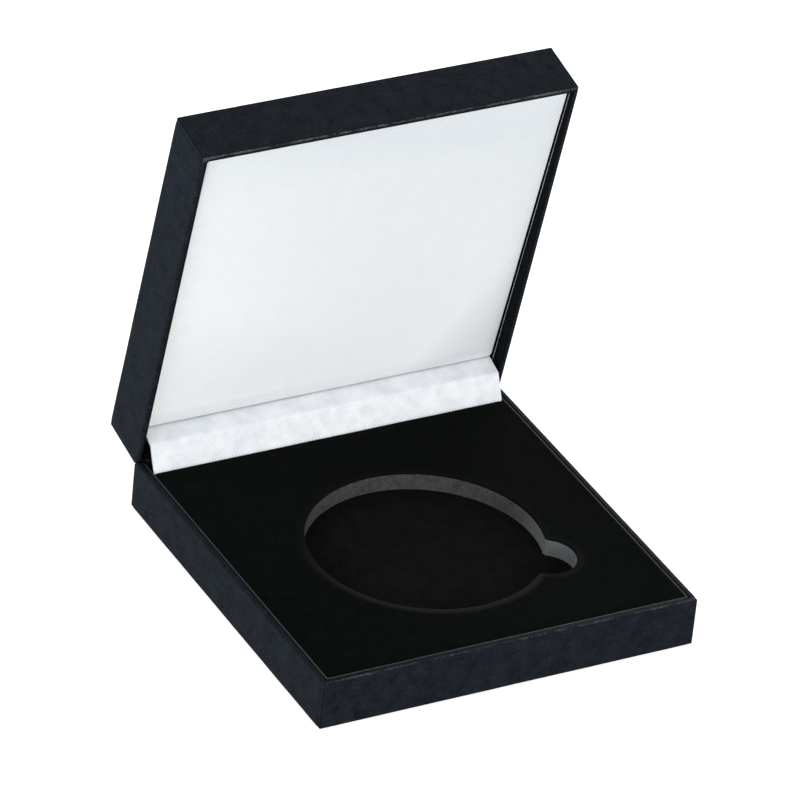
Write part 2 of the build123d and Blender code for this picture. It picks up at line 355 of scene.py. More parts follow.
def facets(bm, low, high, floor):
    """Adds one half as a closed tray of flat faces, its rim cut back along the stop at the hinge."""
    right, back, front, rim, depth = high.x, low.y, high.y, low.z, high.z
    wall = right - inner_x
    near, far, drop = back + wall, front - wall, hinge_drop
    lift = stop_half_gap / math.cos(lean / 2)
    heel = lift - back * math.tan(lean / 2)
    toe = (lift - rim) / math.tan(lean / 2)
    spans = [
        (right, (back, depth), (front, depth)),
        (right, (front, rim), (front, depth)),
        (inner_x, (far, rim), (far, floor)),
        (inner_x, (near, drop), (near, floor)),
        (inner_x, (back, drop), (near, drop)),
        (inner_x, (near, floor), (far, floor)),
    ]
    faces = [[(-x, *a), (x, *a), (x, *b), (-x, *b)] for x, a, b in spans]
    faces += [
        [(-right, toe, rim), (-right, front, rim), (right, front, rim), (right, toe, rim)]
        + [(inner_x, toe, rim), (inner_x, far, rim), (-inner_x, far, rim), (-inner_x, toe, rim)],
        [(-right, back, depth), (right, back, depth), (right, back, heel), (inner_x, back, heel)]
        + [(inner_x, back, drop), (-inner_x, back, drop), (-inner_x, back, heel), (-right, back, heel)],
    ]
    outer_end = [(back, heel), (toe, rim), (front, rim), (front, depth), (back, depth)]
    inner_end = [(back, heel), (toe, rim), (far, rim), (far, floor), (near, floor), (near, drop)]
    inner_end += [(back, drop)]
    for side in (-1, 1):
        out, inside = side * right, side * inner_x
        faces += [[(out, *at) for at in outer_end], [(inside, *at) for at in inner_end]]
        faces += [[(out, back, heel), (out, toe, rim), (inside, toe, rim), (inside, back, heel)]]
    corners = {}
    for face in faces:
        for at in face:
            if at not in corners:
                corners[at] = bm.verts.new(at)
        bm.faces.new([corners[at] for at in face])
    bmesh.ops.recalc_face_normals(bm, faces=bm.faces)
    weights = bm.edges.layers.float.new("bevel_weight_edge")
    for edge in bm.edges:
        ends = [v.co for v in edge.verts]
        at_rim = all(c.z == rim for c in ends)
        outer_faces = [(abs(c.x) == right, c.y == front, c.z == depth) for c in ends]
        outside = any(all(both) for both in zip(*outer_faces))
        edge[weights] = 1.0 if at_rim else (corner_r if outside else inner_r) / rim_r


def reshaped(bm, kind, **settings):
    """The mesh after one modifier."""
    mesh = bpy.data.meshes.new("rough")
    bm.to_mesh(mesh)
    bm.free()
    rough = added("rough", mesh)
    modifier = rough.modifiers.new("shape", kind)
    for name, value in settings.items():
        setattr(modifier, name, value)
    bpy.context.view_layer.update()
    shaped = bpy.data.meshes.new_from_object(rough.evaluated_get(bpy.context.evaluated_depsgraph_get()))
    result = bmesh.new()
    result.from_mesh(shaped)
    bpy.data.objects.remove(rough)
    bpy.data.meshes.remove(mesh)
    bpy.data.meshes.remove(shaped)
    return result


def sliced(bm, at, normal):
    """Cuts every face that a plane crosses, and keeps both parts."""
    everything = [*bm.verts, *bm.edges, *bm.faces]
    bmesh.ops.bisect_plane(bm, geom=everything, plane_co=at, plane_no=normal, dist=1e-5)


def netted(bm, low, high):
    """Cuts a covering's faces into a net, with close lines where the side flaps end."""
    for axis in (0, 1, 2):
        normal = Vector((axis == 0, axis == 1, axis == 2))
        count = round((high[axis] - low[axis]) / net)
        for step in range(1, count):
            sliced(bm, low + (high - low) * step / count, normal)
    for end in (low.y + tuck, high.y - tuck):
        for shift in (-tuck_slope, tuck_slope):
            sliced(bm, Vector((0, end + shift, 0)), Vector((0, 1, 0)))


def wear_at(at, way, high, rubbing_and_highlight):
    """How rubbed a covering is at a point, up to 1, as wear and a painted highlight on its crests and edges, or
    below 0 where shade is painted in its grooves, inner walls and corner folds.
    """
    middle = (high.x + inner_x) / 2
    from_front = high.y - at.y
    if at.z < rim_zone:
        outwards = max(abs(at.x) - middle, high.x - middle - from_front)
        share = rubbing_and_highlight if from_front < 2 * rim_r else side_wear_and_highlight * rubbing_and_highlight
        # Along the rim: wear and a painted highlight on its outer crest, and painted shade on its inner half.
        crest = smooth_step(-way.z, 0.25, 0.7)
        groove = groove_painted_shade * smooth_step(-outwards, 0.05, 0.4)
        return crest * share * smooth_step(outwards, -0.05, 0.3) - groove
    # The inner walls below the rim are painted dark as shade.
    if abs(at.x) < inner_x + hair and from_front > high.x - inner_x - hair and at.z < high.z - 1:
        return -groove_painted_shade
    if from_front < tuck and abs(at.x) > inner_x:
        if abs(way.x) > 0.75:
            return flap_wear
        # The fold at the corner is painted dark as shade.
        return -corner_painted_shade * smooth_step(min(abs(way.x), abs(way.y)), 0.1, 0.35)
    # The other rounded edges: wear and a painted highlight.
    return edge_wear_and_highlight * (1 - smooth_step(max(map(abs, way)), 0.86, 1.0))


def swell_at(at, way, low, high):
    """How far a covering stands out at a point: swells, less at the rim, and the flaps' steps."""
    swell = wrap_swell * ripple(at, 9.0) + wrap_pucker * ripple(at, 2.1)
    swell *= 0.3 + 0.7 * smooth_step(at.z, 0.0, 2.0)
    if abs(at.x) > high.x - corner_r:
        from_corner = min(at.y - low.y, high.y - at.y)
        swell -= tuck_step * (1 - smooth_step(from_corner, tuck - tuck_slope, tuck + tuck_slope)) * abs(way.x)
    return swell


def wrap(name, node, half, floor_node, turn_in, open_under, rubbing_and_highlight, body):
    """The covering of one half, open inside below its turned-in edge and, if asked, underneath."""
    low, high = limits(node, half)
    floor = limits(floor_node, half)[0].z
    near, far = low.y + high.x - inner_x, high.y - high.x + inner_x
    slope = (turn_in[1] - turn_in[0]) / (far - near)
    bm = bmesh.new()
    facets(bm, low, high, floor)
    bm = reshaped(bm, "BEVEL", limit_method="WEIGHT", width=rim_r, segments=rim_steps)
    sliced(bm, Vector((0, far, turn_in[0])), Vector((0, slope, 1)))
    netted(bm, low, high)
    if open_under:
        for side in (-1, 1):
            sliced(bm, Vector((side * (high.x - turn_under), 0, 0)), Vector((1, 0, 0)))
        for end in (low.y + turn_under, high.y - turn_under):
            sliced(bm, Vector((0, end, 0)), Vector((0, 1, 0)))
    doomed = []
    for face in bm.faces:
        c = face.calc_center_median()
        in_cavity = abs(c.x) < inner_x + hair and near - hair < c.y < far + hair and c.z < floor + hair
        below = c.z > turn_in[0] + slope * (far - c.y)
        open_middle = abs(c.x) < high.x - turn_under and low.y + turn_under < c.y < high.y - turn_under
        if (in_cavity and below) or (open_under and open_middle and c.z > high.z - hair):
            doomed.append(face)
    bmesh.ops.delete(bm, geom=doomed, context="FACES")
    worn_and_lit = bm.verts.layers.float.new("wear")
    bm.normal_update()
    for vert in bm.verts:
        vert[worn_and_lit] = wear_at(vert.co, vert.normal, high, rubbing_and_highlight)
        vert.co += vert.normal * swell_at(vert.co, vert.normal, low, high)
    bm = reshaped(bm, "SOLIDIFY", thickness=wrap_t, offset=-1.0)
    for vert in bm.verts:
        vert.co.z = max(vert.co.z, low.z)
    bmesh.ops.dissolve_degenerate(bm, dist=0.001, edges=bm.edges)
    piece = settle(name, bm, half, leather, body, [node])
    piece.modifiers.new("even shading", "WEIGHTED_NORMAL").keep_sharp = True


# The grain is fine pebbles over a blotched near-black, rubbed grey along the edges partly as a
# painted highlight, and painted dark as shade in the grooves, on the inner walls and in the folds.
leather = Finish("leather_grain", {"Specular IOR Level": 0.02, "Specular Tint": (0.72, 0.86, 1.0)})
place = leather.place()
warp = leather.add("ShaderNodeTexNoise", {}, {"Vector": place, "Scale": 1.6, "Detail": 2.0}, "Color")
bent = {"Vector": place + warp * 0.5, "Scale": 1.9}
cells = leather.add("ShaderNodeTexVoronoi", {"feature": "DISTANCE_TO_EDGE"}, bent, "Distance")
pebble = leather.ranged(cells, 0.0, 0.22)
fine = leather.noise(place, 0.16)
streaks = leather.noise(place, 1.3, 2.0)
broad = leather.noise(place, 3.6)
wear = leather.wear()
patches = leather.ranged(leather.noise(place, 3.4, 2.0), 0.36, 0.62)
flecks = leather.ranged(leather.noise(place, 0.45, 2.0), 0.38, 0.62)
rubbed_and_highlit = leather.ranged(wear * (0.25 + flecks * 0.40 + patches * 0.50), 0.40, 1.10)
# Below 0 the mesh asks for painted shade.
painted_shade = leather.ranged(wear, 0.0, -1.0)
shade = leather.ranged(pebble * 0.15 + streaks * 0.30 + broad * 0.55, 0.30, 0.72)
ground = leather.mixed(shade, (0.0040, 0.0054, 0.0079), (0.0155, 0.0197, 0.0252))
worn_and_lit = leather.mixed(rubbed_and_highlit, ground, (0.112, 0.112, 0.115))
leather.wire({
    "Base Color": leather.mixed(painted_shade, worn_and_lit, (0.002, 0.002, 0.002)),
    "Roughness": 0.60 - pebble * 0.12 + fine * 0.10,
    "Normal": leather.bumped(pebble * 0.65 + fine * 0.35, 0.045, 0.8),
})

wrap("base_covering", "base_wrap", base_half, "base_floor_board", base_turn_in, True, 0.72, "base")
wrap("lid_covering", "lid_wrap", lid_half, "lid_top_board", lid_turn_in, False, 0.9, "lid")


# The boards: both halves are boxes of plain grey board, glued at their corners. The coverings hide
# them all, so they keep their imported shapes.
def fibrous(name, constants, dark, pale, fibre, tall, detail=3.0, packed=False):
    """Board, paper or wadding: fibres of one size between two shades, standing up by tall millimetres."""
    finish = Finish(name, constants)
    place = finish.packed_place() if packed else finish.place()
    fibres = finish.noise(place, fibre * millimetre if packed else fibre, detail)
    finish.wire({"Base Color": finish.mixed(fibres, dark, pale), "Normal": finish.bumped(fibres, tall)})
    return finish


def refinish(node, finish):
    """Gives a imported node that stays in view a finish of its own."""
    materials = frame["nodes"][node].data.materials
    materials.clear()
    materials.append(finish.material)


grey_board = fibrous(
    "grey_board", {"Specular IOR Level": 0.2, "Roughness": 0.9},
    dark=(0.40, 0.38, 0.35), pale=(0.56, 0.54, 0.50), fibre=0.5, tall=0.03, packed=True,
)
for node in frame["nodes"]:
    if "board" in node or "wall" in node:
        refinish(node, grey_board)


# The collar: a lip of black card standing inside the base's front and side walls, its top edge
# rounded over and level with the rim. It hides the wrap's turned-in edge.
collar_t = 0.4
collar_corner = 0.7
collar_wave = 0.035
collar_gap = 0.03
collar_pitch = 1.1
collar_corner_pitch = 0.2
lip_steps = 8


def arc(centre, radius, start, end, pitch):
    """Points round an arc with their outward normals, from one angle to another."""
    count = max(2, math.ceil(abs(end - start) * radius / pitch))
    found = []
    for i in range(count + 1):
        way = start + (end - start) * i / count
        normal = Vector((math.cos(way), math.sin(way)))
        found.append((centre + normal * radius, normal))
    return found


def straight(start, end, normal, pitch):
    """Points along a straight run without its ends, with the normal given."""
    count = max(1, round((end - start).length / pitch))
    return [(start.lerp(end, i / count), normal) for i in range(1, count)]


def three_walls(right, near, far, corner, pitch, corner_pitch):
    """A line along the right, front and left walls of a half, as points with outward normals."""
    turn, side = far - corner, right - corner
    east, north, west = Vector((1, 0)), Vector((0, 1)), Vector((-1, 0))
    line = [(Vector((right, near)), east)]
    line += straight(Vector((right, near)), Vector((right, turn)), east, pitch)
    line += arc(Vector((side, turn)), corner, 0, math.pi / 2, corner_pitch)
    line += straight(Vector((side, far)), Vector((-side, far)), north, pitch)
    line += arc(Vector((-side, turn)), corner, math.pi / 2, math.pi, corner_pitch)
    line += straight(Vector((-right, turn)), Vector((-right, near)), west, pitch)
    line += [(Vector((-right, near)), west)]
    return line


def lofted(bm, rings):
    """Joins closed rings of points, each to the next, with four-sided faces."""
    for first, second in zip(rings, rings[1:]):
        for i in range(len(first)):
            k = (i + 1) % len(first)
            bm.faces.new((first[i], first[k], second[k], second[i]))


def capped(bm, rings):
    """Joins the rings and closes both ends with one flat face each."""
    lofted(bm, rings)
    bm.faces.new(rings[0][::-1])
    bm.faces.new(rings[-1])


# The card is smooth, and greyer and mottled along the lip's crest, where it is rubbed and where a highlight is
# painted.
lip_card = Finish("coated_card", {"Specular IOR Level": 0.15})
place = lip_card.place()
mottle = lip_card.noise(place, 0.8)
rubbed_and_highlit = lip_card.wear() * lip_card.ranged(mottle, 0.3, 0.7, 0.3, 0.9)
lip_card.wire({
    "Base Color": lip_card.mixed(rubbed_and_highlit, (0.010, 0.011, 0.013), (0.046, 0.050, 0.060)),
    "Roughness": 0.45 + mottle * 0.2,
    "Normal": lip_card.bumped(lip_card.noise(place, 0.2), 0.015, 0.6),
})

# The lip's section runs along the walls in a slight wave. Its rubbing and painted highlight are strongest along
# the front and weakest along the right wall.
low, high = limits("base_collar", base_half)
lip_r = collar_t / 2
section = [(0.0, high.z)]
for k in range(lip_steps + 1):
    way = math.pi * k / lip_steps
    section.append((lip_r - lip_r * math.cos(way), low.z + lip_r - lip_r * math.sin(way)))
section += [(collar_t, high.z)]
bm = bmesh.new()
worn_and_lit = bm.verts.layers.float.new("wear")
rings = []
for at, normal in three_walls(high.x, low.y, high.y, collar_corner, collar_pitch, collar_corner_pitch):
    wave = collar_wave * ripple(Vector((at.x, at.y, 0)), 8.0)
    sink = collar_wave * (0.5 + 0.5 * ripple(Vector((at.x, at.y, 40)), 11.0))
    # Painted highlight and wear on the lip's crest, by the way each wall faces.
    rubbed_and_highlit = 0.4 + 0.6 * normal.y - 0.2 * normal.x
    ring = []
    for inset, depth in section:
        p = at - normal * (inset + wave + collar_wave + collar_gap)
        vert = bm.verts.new((p.x, p.y, depth + sink * (depth < high.z)))
        vert[worn_and_lit] = rubbed_and_highlit * (depth < low.z + lip_r * 0.5)
        ring.append(vert)
    rings.append(ring)
capped(bm, rings)
settle("collar_lip", bm, base_half, lip_card, "base", ["base_collar"])


# The lid's liner: black paper round the inside of the lid's walls, below the wrap's turned-in
# edge. Its black is painted shade for the gap beside the lining. The wrap is torn along that edge,
# so a thin line of its white backing shows above the liner.
liner_depth = 6.0
liner_t = 0.07
liner_sunk = 0.12
liner_lap = 0.1  # how far it starts above the turned-in edge
backing_t = 0.1
backing_sunk = 0.02
backing_wide = 0.20
backing_lap = 0.02
backing_ragged = 0.06
band_corner = 0.25
band_pitch = 0.9
band_corner_pitch = 0.1
lid_low, lid_high = limits("lid_wrap", lid_half)
lid_wall = lid_high.x - inner_x


def wall_band(name, sunk, thick, depths, finish):
    """A band round the lid's side and front walls, between two depths that depend on the place."""
    near, far = lid_low.y + lid_wall, lid_high.y - lid_wall + sunk
    bm = bmesh.new()
    rings = []
    for at, normal in three_walls(inner_x + sunk, near, far, band_corner, band_pitch, band_corner_pitch):
        back = at + normal * thick
        top, bottom = depths(at)
        ring = [(at, top), (at, bottom), (back, bottom), (back, top)]
        rings.append([bm.verts.new((p.x, p.y, depth)) for p, depth in ring])
    capped(bm, rings)
    settle(name, bm, lid_half, finish, "lid", [])


def turned_edge(at):
    """How deep the lid wrap's turned-in edge lies at a place along the walls."""
    share = (lid_high.y - lid_wall - at.y) / (lid_high.y - lid_low.y - 2 * lid_wall)
    return lid_turn_in[0] + (lid_turn_in[1] - lid_turn_in[0]) * share


def liner_depths(at):
    return turned_edge(at) - liner_lap, liner_depth


def backing_depths(at):
    ragged = backing_ragged * ripple(Vector((at.x, at.y, 7)), 1.7)
    return turned_edge(at) - backing_lap, turned_edge(at) + backing_wide + ragged


# The backing's fibres are torn unevenly, so that some are nearly bare.
backing = Finish("torn_backing", {"Specular IOR Level": 0.1, "Roughness": 0.95})
fibres = backing.noise(backing.place(), 0.5, 4.0)
backing.wire({
    "Base Color": backing.mixed(backing.ranged(fibres, 0.35, 0.6), (0.30, 0.30, 0.29), (0.78, 0.78, 0.76)),
    "Normal": backing.bumped(fibres, 0.03),
})

# The liner's near-black stands in for shade.
liner_paper = fibrous(
    "liner_paper", {"Specular IOR Level": 0.05, "Roughness": 0.9},
    dark=(0.0025, 0.0025, 0.0028), pale=(0.0080, 0.0080, 0.0085), fibre=0.3, tall=0.02,
)
wall_band("lid_liner", liner_sunk, liner_t, liner_depths, liner_paper)
wall_band("torn_edge", backing_sunk, backing_t, backing_depths, backing)


# The pad: black foam with a flocked face, resting on a flocked card and a foam spacer. The coin's
# recess and its thumb notch are die-cut through the face and the foam down to the card.
pad_corner = 0.8
notch_r = 6.5
notch_way = math.radians(34)
notch_blend = 1.2
flock_swell = 0.05
foam_ragged = 0.045
foam_shrunk = 0.02  # how far the foam's cut wall draws back
pressed_rim = 2.2  # how far the die presses the flock flat round the recess
most_highlit = Vector((-0.25, 0.97))  # the way from the recess's middle to where its rim is greyest
recess = next(m for m in frame["record"]["mounts"] if m["name"] == "coin_recess")
recess_r = recess["dims"]["r_mm"]
recess_at = base_half.inverted() @ Vector(recess["pos_m"])


def rounded_rectangle(low, high, radius, pitch):
    """A closed loop round a rectangle with rounded corners: points with their outward normals."""
    right, front, left, back = high.x - radius, high.y - radius, low.x + radius, low.y + radius
    centres = [Vector((right, front)), Vector((left, front)), Vector((left, back)), Vector((right, back))]
    loop = []
    for i, centre in enumerate(centres):
        start = i * math.pi / 2
        end = start + math.pi / 2
        loop += arc(centre, radius, start, end, pitch / 3)
        normal = Vector((round(math.cos(end)), round(math.sin(end))))
        after = centres[(i + 1) % 4] + normal * radius
        loop += straight(loop[-1][0], after, normal, pitch)
    return loop


def recess_outline(pitch):
    """The coin recess with its thumb notch, as a closed loop whose normals point into the hole."""
    reach_x = ((recess_r + notch_blend) ** 2 - (notch_r + notch_blend) ** 2 + recess_r**2) / (2 * recess_r)
    reach_y = math.sqrt((recess_r + notch_blend) ** 2 - reach_x**2)
    wide = math.atan2(reach_y, reach_x)
    tight = math.atan2(reach_y, reach_x - recess_r)
    main = arc(Vector((0, 0)), recess_r, wide, math.tau - wide, pitch)
    low_blend = arc(Vector((reach_x, -reach_y)), notch_blend, math.pi - wide, math.pi - tight, pitch / 2)
    notch = arc(Vector((recess_r, 0)), notch_r, -tight, tight, pitch)
    high_blend = arc(Vector((reach_x, reach_y)), notch_blend, math.pi + tight, math.pi + wide, pitch / 2)
    loop = [(p, -n) for p, n in main[:-1]] + low_blend[:-1]
    loop += [(p, -n) for p, n in notch[:-1]] + high_blend[:-1]
    turn = Matrix.Rotation(notch_way, 2)
    return [(recess_at.xy + turn @ p, turn @ n) for p, n in loop]


def rounded_edge(top, bottom, radius, rows=1, steps=5):
    """A layer's edge from its back to its face: (inset, depth) pairs with a quarter round at the face."""
    edge = [(0.0, bottom + (top + radius - bottom) * i / rows) for i in range(rows)]
    for k in range(steps + 1):
        way = math.pi / 2 * k / steps
        edge.append((radius * (1 - math.cos(way)), top + radius * (1 - math.sin(way))))
    return edge


def enclosed(at, ring):
    """Whether a point lies inside a ring, by counting the sides that a line from it crosses."""
    inside = False
    for first, second in zip(ring, ring[-1:] + ring[:-1]):
        a, b = first.co, second.co
        if (a.y > at.y) != (b.y > at.y) and at.x < a.x + (b.x - a.x) * (at.y - a.y) / (b.y - a.y):
            inside = not inside
    return inside


def grid_points(borders, spacing):
    """A staggered grid of points inside the outer ring, clear of every ring and outside the holes."""
    low, high = extent([v.co for v in borders[0]])
    rim = [v.co.xy for ring in borders for v in ring]
    nearby = kdtree.KDTree(len(rim))
    for i, point in enumerate(rim):
        nearby.insert((point.x, point.y, 0), i)
    nearby.balance()
    rows = int((high.y - low.y) / spacing)
    columns = int((high.x - low.x) / spacing)
    found = []
    for j in range(1, rows):
        y = low.y + j * (high.y - low.y) / rows
        for i in range(1, columns):
            x = low.x + (i + 0.5 * (j % 2)) * (high.x - low.x) / columns
            clear = nearby.find((x, y, 0))[2] > spacing * 0.6 and x < high.x - spacing * 0.4
            at = Vector((x, y))
            if clear and not any(enclosed(at, hole) for hole in borders[1:]):
                found.append(at)
    return found


def filled(bm, borders, spacing):
    """Fills the flat between border rings with triangles, over a grid of points where spacing is set."""
    depth = borders[0][0].co.z
    verts = [v for ring in borders for v in ring]
    points = [v.co.xy for v in verts]
    edges = []
    start = 0
    for ring in borders:
        count = len(ring)
        edges += [(start + i, start + (i + 1) % count) for i in range(count)]
        start += count
    if spacing:
        points += grid_points(borders, spacing)
    found, _, triangles, origins, _, _ = geometry.delaunay_2d_cdt(points, edges, [], 2, 1e-6)
    made = [verts[origin[0]] if origin and origin[0] < len(verts) else None for origin in origins]
    for triangle in triangles:
        middle = sum((found[i] for i in triangle), Vector((0, 0))) / 3
        if any(enclosed(middle, hole) for hole in borders[1:]):
            continue
        for i in triangle:
            if not made[i]:
                made[i] = bm.verts.new((found[i].x, found[i].y, depth))
        bm.faces.new([made[i] for i in triangle])


def layer(loops, spacing):
    """A flat layer. Each loop is an outline with its edge, the outer one first and then any hole."""
    bm = bmesh.new()
    worn_and_lit = bm.verts.layers.float.new("wear")
    backs, faces = [], []
    for outline, edge in loops:
        rings = []
        for inset, depth in edge:
            rings.append([bm.verts.new((*(p - n * inset), depth)) for p, n in outline])
        lofted(bm, rings)
        backs.append(rings[0])
        faces.append(rings[-1])
        for ring in rings[1:-1]:
            for vert in ring:
                vert[worn_and_lit] = 1.0
    filled(bm, backs, 0)
    filled(bm, faces, spacing)
    return bm


def slab(node, pitch, radius, rows=1, steps=5):
    """A pad layer's outline with its edge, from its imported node, and the depths of its face and back."""
    low, high = limits(node, base_half)
    outline = rounded_rectangle(low, high, pad_corner, pitch)
    return (outline, rounded_edge(low.z, high.z, radius, rows, steps)), low.z, high.z


def flocking(name, shade, edge_shade):
    """Short fibres blown on glue: tufts that lie different ways, and a greyer edge, which round the recess is a
    painted highlight.
    """
    dull = {"Roughness": 1.0, "Specular IOR Level": 0.015, "Sheen Weight": 0.006, "Sheen Roughness": 0.5}
    finish = Finish(name, dull)
    place = finish.place()
    fibres = finish.noise(place, 0.10, 2.0)
    tufts = finish.noise(place, 0.55)
    lie = finish.noise(place, 3.5)
    pale = tuple(7.0 * c for c in shade)
    ground = finish.mixed(finish.ranged(fibres * 0.3 + tufts * 0.4 + lie * 0.3, 0.32, 0.68), shade, pale)
    finish.wire({
        "Base Color": finish.mixed(finish.wear() * 0.8, ground, edge_shade),
        "Normal": finish.bumped(fibres * 0.6 + tufts * 0.4, 0.12, 0.7),
    })
    return finish


def cut_foam(name, shade, pore_shade, notch_light=0.0):
    """Foam with open cells, paler by a share where its mesh marks the notch: painted light on the wall there."""
    finish = Finish(name, {"Roughness": 0.95, "Specular IOR Level": 0.15})
    place = finish.place()
    cells = finish.add("ShaderNodeTexVoronoi", {"feature": "F1"}, {"Vector": place, "Scale": 3.2}, "Distance")
    pores = finish.ranged(cells, 0.1, 0.45)
    drift = finish.noise(place, 1.1)
    blotches = finish.noise(place, 2.8, 2.0)
    light = finish.ranged(pores * 0.35 + drift * 0.35 + blotches * 0.30, 0.34, 0.70)
    cut = finish.mixed(light, pore_shade, shade)
    if notch_light:
        cut = finish.mixed(finish.wear() * notch_light, cut, (0.17, 0.175, 0.18))
    finish.wire({"Base Color": cut, "Normal": finish.bumped(pores, 0.10, 0.8)})
    return finish


face_flock = flocking("face_flock", (0.0006, 0.0008, 0.0007), (0.021, 0.0205, 0.020))
floor_flock = flocking("floor_flock", (0.0013, 0.0013, 0.0012), (0.010, 0.010, 0.010))
pad_foam = cut_foam("pad_foam", (0.068, 0.065, 0.062), (0.010, 0.009, 0.008), notch_light=0.6)
black_foam = cut_foam("black_foam", (0.056, 0.053, 0.050), (0.016, 0.015, 0.014))

# The face is gently uneven, and its edge is pressed down round the recess, where a paler highlight is painted,
# strongest toward the front.
outer, face, back = slab("pad_flock", pitch=1.4, radius=0.28)
rim = rounded_edge(face, back, radius=0.32) + [(pressed_rim / 2, face), (pressed_rim, face)]
bm = layer([outer, (recess_outline(pitch=0.5), rim)], spacing=2.0)
worn_and_lit = bm.verts.layers.float["wear"]
for vert in bm.verts:
    vert.co.z += flock_swell * ripple(vert.co, 12.0) * (vert.co.z < back - hair)
    # The painted highlight on the pressed edge, strongest toward the front.
    from_recess = (vert.co - recess_at).xy
    pressed = 1 - smooth_step(from_recess.length, recess_r, recess_r + pressed_rim)
    rubbed_and_highlit = smooth_step(from_recess.normalized() @ most_highlit, -0.3, 0.9)
    vert[worn_and_lit] *= (0.1 + 0.9 * rubbed_and_highlit) * (0.45 + 0.55 * pressed)
flocked_face = settle("flocked_face", bm, base_half, face_flock, "base", ["pad_flock"])

# The block's cut wall is a little ragged between its edges, and painted paler toward the notch, as light falling
# on the wall there.
outer, face, back = slab("pad_foam", pitch=3.0, radius=0.05, steps=2)
wall = (recess_outline(pitch=0.3), rounded_edge(face, back, 0.05, rows=14, steps=2))
bm = layer([outer, wall], spacing=0)
worn_and_lit = bm.verts.layers.float["wear"]
to_notch = Vector((math.cos(notch_way), math.sin(notch_way)))
bm.normal_update()
for vert in bm.verts:
    at = vert.co
    # Painted light: the wall is paler toward the notch.
    vert[worn_and_lit] = smooth_step((at - recess_at).xy @ to_notch, 0.6 * recess_r, recess_r)
    if face + 0.1 < at.z < back - 0.05:
        ragged = noise.noise(Vector((at.x / 0.9, at.y / 0.9, at.z / 1.6)))
        vert.co += vert.normal * (foam_ragged * ragged - foam_shrunk)
block = settle("pad_foam_block", bm, base_half, pad_foam, "base", ["pad_foam"])

# The card below is flocked on the side that shows in the recess.
outer, face, _ = slab("recess_floor_card", pitch=2.0, radius=0.1, steps=2)
bm = layer([outer], spacing=1.6)
for vert in bm.verts:
    vert.co.z += flock_swell * (ripple(vert.co, 8.0) + 0.5) * (vert.co.z < face + hair)
settle("recess_floor", bm, base_half, floor_flock, "base", ["recess_floor_card"])

# The spacer lifts the pad to its height.
bm = layer([slab("pad_spacer_foam", pitch=2.0, radius=0.3, rows=4, steps=3)[0]], spacing=3.0)
spacer = settle("spacer_foam", bm, base_half, black_foam, "base", ["pad_spacer_foam"])


# The lid's lining: a card with wadding on its face, wrapped in white satin whose edges are turned
# under and glued. A foam wedge behind it tilts it, so that it lies deeper at the hinge.
lining_from_hinge = 6.2
lining_back_depth = 3.0
lining_front_depth = 0.7
lining_thick = 2.3
lining_corner = 1.0
lining_edge = 0.6
lining_seam = 0.20  # between its lower edge and the hinge cover
lining_swell = 0.03
lining_pucker = 0.012
lining_crown = 0.30  # how much lower the satin lies along the card's edges than at its middle
crown_reach = 9.0
seam_shade_reach = 4.5  # how far the painted shade along the lower edge reaches
corner_shade_reach = (18.0, 28.0)  # about how far, across and forwards, it reaches from the darkest corner
lining_side_gap = 0.4
lining_half_wide = inner_x - lining_side_gap


def satin(name, weave, shade, shadow, cloud, clouded, front_shade, hinge_shade, tucked):
    """White satin: clouded in patches, with painted shade toward the lid's front edge and one side, and
    along the hinge, most of all in one corner there. Past tucked, along its z, it is painted dark as shade."""
    finish = Finish(name, {"Specular IOR Level": 0.35, "Sheen Weight": 0.08, "Sheen Roughness": 0.4})
    place = finish.place()
    x, y, z = (finish.add("ShaderNodeSeparateXYZ", {}, {"Vector": place}, axis) for axis in "XYZ")
    turn = math.tau / (weave * math.sqrt(2))
    twill = finish.add("ShaderNodeMath", {"operation": "SINE"}, {"Value": (x + y) * turn}, "Value")
    cross = finish.add("ShaderNodeMath", {"operation": "SINE"}, {"Value": (x - y) * turn}, "Value")
    streaks = finish.noise(place, 0.5, 2.0)
    height = 0.3 + (twill + cross) * 0.15 + streaks * 0.4
    threads = finish.mixed(finish.ranged(height, 0.2, 0.8), shadow, shade)
    clouds = finish.ranged(finish.noise(place, 4.0, 4.0), 0.40, 0.66, 0.0, clouded)
    # Painted shade, darker toward the lid's front edge and one side.
    front_edge_shade = finish.ranged(y, 66.0, 80.0, 0.0, 0.3 * front_shade)
    painted_front_shade = finish.ranged(y - x * 0.4, 20.0, 80.0, 0.0, front_shade) + front_edge_shade
    worn_and_lit = finish.mixed(clouds + painted_front_shade, threads, cloud, "MULTIPLY")
    # Painted shade along the hinge seam and most of all in one corner there.
    from_corner = (x + lining_half_wide) * (1 / corner_shade_reach[0]) + y * (1 / corner_shade_reach[1])
    at_corner = finish.ranged(from_corner, 0.24, 1.28, hinge_shade, 0.0)
    shade_share = finish.ranged(y, 0.0, seam_shade_reach, hinge_shade, 0.0) + at_corner
    shaded_satin = finish.mixed(shade_share, worn_and_lit, (0.72, 0.74, 0.76), "MULTIPLY")
    # Past tucked the satin is painted dark as shade.
    finish.wire({
        "Base Color": finish.mixed(finish.ranged(z, tucked, tucked + 0.35), shaded_satin, (0.10, 0.10, 0.11)),
        "Roughness": 0.46 + streaks * 0.16,
        "Normal": finish.bumped(height, 0.018, 0.55),
    })
    return finish


lining_run = limits("lining_satin", lid_half)[1].y - lining_from_hinge
lining_tilt = math.atan2(lining_back_depth - lining_front_depth, lining_run)
lining_long = lining_run / math.cos(lining_tilt)
lining_place = Matrix.Translation((0, lining_from_hinge, lining_back_depth))
lining_half = lid_half @ lining_place @ Matrix.Rotation(-lining_tilt, 4, "X")


